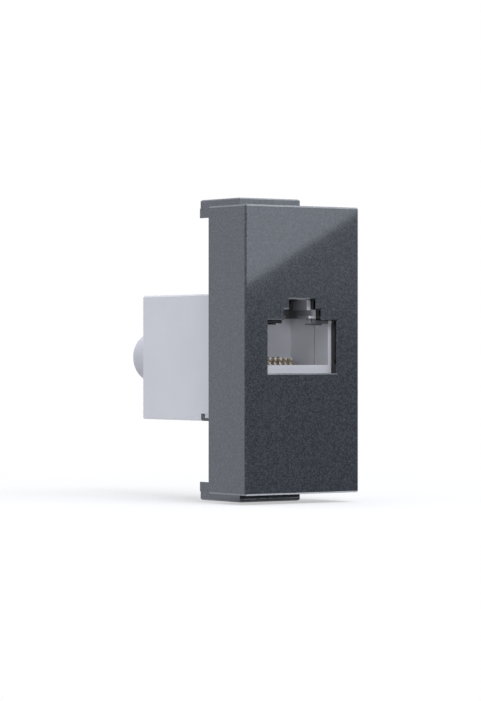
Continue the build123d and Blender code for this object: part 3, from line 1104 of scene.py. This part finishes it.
@dataclass(frozen=True)
class Studio:
    """Pale floor that fades to white, a white sweep behind, and soft lamps in a dim room in front.

    The camera sees plain white. The room's levels light the object, and the gain, the haze and the
    panels are only in what its glossy faces mirror.
    """

    floor_size_m: float = 8.0
    floor_gap_mm: float = 0.02
    floor_colour: str = "#f2f2f2"
    floor_bounce: float = 0.22
    shadow_start_m: float = 0.02
    shadow_reach_m: float = 0.12
    shadow_start_white: float = 0.45
    floor_ramp_m: tuple[float, float] = (-0.014, 0.014)
    front_level: float = 0.06
    back_level: float = 1.0
    back_ramp: tuple[float, float] = (-0.25, 0.25)
    top_level: float = 0.5
    top_ramp: tuple[float, float] = (0.1, 0.8)
    haze_level: float = 0.5
    haze_top: float = 0.025
    gloss_gain: float = 1.35
    tint: str = "#f4f7ff"
    # Panels that light bevelled edges: one high on the right, and three strips on the floor.
    high_panel: Point = (0.576, 0.0, 0.817)
    high_panel_ramp: tuple[float, float] = (0.88, 0.95)
    high_panel_level: float = 4.0
    front_panel: Region = Region((-12.0, -10.0, -25.0), (12.2, -9.3, -23.0))
    front_panel_level: float = 5.0
    window_panel: Region = Region((12.2, -11.2, -25.0), (30.0, -8.8, -23.0))
    window_panel_level: float = 2.5
    side_panel: Region = Region((-11.0, -9.4, -25.0), (-10.2, 6.0, -23.0))
    side_panel_level: float = 1.35
    lamps: tuple[Lamp, ...] = (
        Lamp("key_lamp", place_m=(-0.05, -0.52, 0.52), watts=3.0, width_m=0.4, height_m=0.3),
        Lamp("low_fill", place_m=(-0.23, -0.66, 0.03), watts=0.95, width_m=0.3, height_m=0.1),
        Lamp("port_fill", place_m=(-0.47, -0.47, 0.03), watts=0.46, width_m=0.09, height_m=0.1),
        Lamp("right_fill", place_m=(0.25, -0.42, 0.35), watts=0.98, width_m=0.3, height_m=0.3),
        Lamp("left_lamp", place_m=(-0.9, 0.0, 0.2), watts=1.68, width_m=0.5, height_m=0.5),
        # Its image in the lacquer is the light corner of the cover's face.
        Lamp(
            "mirror_card",
            place_m=(0.2868, -0.4196, 0.0515),
            watts=0.0288,
            width_m=0.08,
            height_m=0.045,
            roll_deg=33.1,
            aim_m=(-0.0012, -0.0106, 0.0515),
            tint="#eaf2ff",
        ),
    )

    def tinted(
        self, tree: bpy.types.NodeTree, camera_ray: bpy.types.NodeSocket
    ) -> bpy.types.NodeSocket:
        """Gives the studio's light its tint.

        Args:
            tree: Node tree of the floor or the surroundings.
            camera_ray: 1 for rays from the camera, which stay plain white.

        Returns:
            The light's colour.
        """
        return add_node(
            tree,
            "ShaderNodeMix",
            {"data_type": "RGBA", 6: linear(self.tint), 7: grey(1.0)},
            {0: camera_ray},
        ).outputs[2]

    def floor_image(
        self, tree: bpy.types.NodeTree, axes: bpy.types.Node
    ) -> bpy.types.NodeSocket:
        """Works out how light glossy faces mirror the floor.

        Args:
            tree: Node tree of the floor.
            axes: Separate XYZ node on Object coordinates.

        Returns:
            The level: dim in front, light behind, and bright in the panels' strips.
        """
        low, high = self.floor_ramp_m
        image = add_node(
            tree,
            "ShaderNodeMapRange",
            {"From Min": low, "From Max": high, "To Min": 0.0, "To Max": self.gloss_gain},
            {"Value": axes.outputs["Y"]},
        ).outputs["Result"]
        for panel, level in (
            (self.side_panel, self.side_panel_level),
            (self.front_panel, self.front_panel_level),
            (self.window_panel, self.window_panel_level),
        ):
            image = add_node(
                tree,
                "ShaderNodeMix",
                {"data_type": "FLOAT", 3: level},
                {0: panel.inside(tree, axes), 2: image},
            ).outputs[0]
        return image

    def floor_finish(self) -> bpy.types.Material:
        """Makes the floor's matt paint.

        The camera sees a soft shadow that turns to plain white further out. Glossy faces mirror the
        floor white behind and dim in front, and it throws back little light.

        Returns:
            The new material.
        """
        material, tree, place = new_material("rolled_matt_floor_paint")
        axes = add_node(tree, "ShaderNodeSeparateXYZ", links={"Vector": place})
        rays = add_node(tree, "ShaderNodeLightPath")
        camera_ray = rays.outputs["Is Camera Ray"]
        tone = add_node(
            tree,
            "ShaderNodeMix",
            {"data_type": "RGBA", 6: grey(self.floor_bounce), 7: linear(self.floor_colour)},
            {0: camera_ray},
        )
        matt = add_node(tree, "ShaderNodeBsdfDiffuse", links={"Color": tone.outputs[2]})
        strength = add_node(
            tree,
            "ShaderNodeMix",
            {"data_type": "FLOAT", 3: 1.0},
            {0: camera_ray, 2: self.floor_image(tree, axes)},
        )
        white = add_node(
            tree,
            "ShaderNodeEmission",
            links={"Color": self.tinted(tree, camera_ray), "Strength": strength.outputs[0]},
        )
        distance = add_node(tree, "ShaderNodeVectorMath", {"operation": "LENGTH"}, {0: place})
        far = add_node(
            tree,
            "ShaderNodeMapRange",
            {
                "From Min": self.shadow_start_m,
                "From Max": self.shadow_reach_m,
                "To Min": self.shadow_start_white,
                "To Max": 1.0,
            },
            {"Value": distance.outputs["Value"]},
        )
        seen_white = add_node(
            tree,
            "ShaderNodeMath",
            {"operation": "MULTIPLY"},
            {0: camera_ray, 1: far.outputs["Result"]},
        )
        shown = add_node(
            tree,
            "ShaderNodeMath",
            {"operation": "MAXIMUM"},
            {0: seen_white.outputs["Value"], 1: rays.outputs["Is Glossy Ray"]},
        )
        mixed = add_node(
            tree,
            "ShaderNodeMixShader",
            links={0: shown.outputs["Value"], 1: matt.outputs[0], 2: white.outputs[0]},
        )
        close_material(tree, mixed)
        return material

    def make_floor(self, level_m: float) -> None:
        """Lays the floor under the object.

        Args:
            level_m: Height of the floor.
        """
        half = self.floor_size_m / 2
        mesh = bpy.data.meshes.new("floor")
        corners = [(-half, -half), (half, -half), (half, half), (-half, half)]
        mesh.from_pydata([(x, y, level_m) for x, y in corners], [], [(0, 1, 2, 3)])
        mesh.materials.append(self.floor_finish())
        new_object("floor", mesh)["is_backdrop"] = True

    def room_level(
        self, tree: bpy.types.NodeTree, axes: bpy.types.Node
    ) -> bpy.types.NodeSocket:
        """Works out the room's light.

        Args:
            tree: Node tree of the surroundings.
            axes: Separate XYZ node on the ray's direction.

        Returns:
            The level: white behind, dim in front, lighter towards the ceiling.
        """
        ceiling = add_node(
            tree,
            "ShaderNodeMapRange",
            {
                "From Min": self.top_ramp[0],
                "From Max": self.top_ramp[1],
                "To Min": self.front_level,
                "To Max": self.top_level,
            },
            {"Value": axes.outputs["Z"]},
        )
        behind = add_node(
            tree,
            "ShaderNodeMapRange",
            {"From Min": self.back_ramp[0], "From Max": self.back_ramp[1]},
            {"Value": axes.outputs["Y"]},
        )
        return add_node(
            tree,
            "ShaderNodeMix",
            {"data_type": "FLOAT", 3: self.back_level},
            {0: behind.outputs["Result"], 2: ceiling.outputs["Result"]},
        ).outputs[0]

    def room_image(
        self,
        tree: bpy.types.NodeTree,
        direction: bpy.types.NodeSocket,
        axes: bpy.types.Node,
        level: bpy.types.NodeSocket,
    ) -> bpy.types.NodeSocket:
        """Works out how light glossy faces mirror the room.

        Args:
            tree: Node tree of the surroundings.
            direction: Unit direction of the ray.
            axes: Separate XYZ node on it.
            level: The room's light.

        Returns:
            The level with a haze above the horizon and the high panel.
        """
        gained = add_node(
            tree,
            "ShaderNodeMath",
            {"operation": "MULTIPLY", 1: self.gloss_gain},
            {0: level},
        )
        haze = add_node(
            tree,
            "ShaderNodeMapRange",
            {"From Min": 0.0, "From Max": self.haze_top, "To Min": 0.0, "To Max": self.haze_level},
            {"Value": axes.outputs["Z"]},
        )
        hazed = add_node(
            tree,
            "ShaderNodeMath",
            {"operation": "MAXIMUM"},
            {0: gained.outputs["Value"], 1: haze.outputs["Result"]},
        )
        nearness = add_node(
            tree,
            "ShaderNodeVectorMath",
            {"operation": "DOT_PRODUCT", 1: self.high_panel},
            {0: direction},
        )
        share = add_node(
            tree,
            "ShaderNodeMapRange",
            {"From Min": self.high_panel_ramp[0], "From Max": self.high_panel_ramp[1]},
            {"Value": nearness.outputs["Value"]},
        )
        return add_node(
            tree,
            "ShaderNodeMix",
            {"data_type": "FLOAT", 3: self.high_panel_level},
            {0: share.outputs["Result"], 2: hazed.outputs["Value"]},
        ).outputs[0]

    def make_world(self) -> None:
        """Makes the surroundings."""
        world = bpy.data.worlds.new("studio")
        world.use_nodes = True
        tree = world.node_tree
        tree.nodes.clear()
        direction = add_node(tree, "ShaderNodeTexCoord").outputs[Coordinates.DIRECTION.value]
        axes = add_node(tree, "ShaderNodeSeparateXYZ", links={"Vector": direction})
        level = self.room_level(tree, axes)
        rays = add_node(tree, "ShaderNodeLightPath")
        camera_ray = rays.outputs["Is Camera Ray"]
        lit = add_node(
            tree,
            "ShaderNodeMix",
            {"data_type": "FLOAT"},
            {
                0: rays.outputs["Is Glossy Ray"],
                2: level,
                3: self.room_image(tree, direction, axes, level),
            },
        )
        shown = add_node(
            tree,
            "ShaderNodeMix",
            {"data_type": "FLOAT", 3: 1.0},
            {0: camera_ray, 2: lit.outputs[0]},
        )
        light = add_node(
            tree,
            "ShaderNodeBackground",
            links={"Color": self.tinted(tree, camera_ray), "Strength": shown.outputs[0]},
        )
        add_node(tree, "ShaderNodeOutputWorld", links={"Surface": light.outputs[0]})
        bpy.context.scene.world = world

    def make(self) -> None:
        """Builds the whole studio around the object."""
        self.make_floor(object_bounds()[0][2] - self.floor_gap_mm * MM)
        self.make_world()
        for lamp in self.lamps:
            lamp.make()
        bpy.context.scene.view_settings.view_transform = "Standard"


def main() -> None:
    """Builds the scene."""
    logging.basicConfig(level=logging.INFO, format="%(name)s: %(message)s")
    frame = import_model()
    Camera().make()
    Studio().make()
    finishes = Finishes()
    for sub_assembly in (CableCap, Terminals, Jack, ContactWires, ContactComb, Cover):
        sub_assembly(frame, finishes).make()


if __name__ == "__main__":
    main()
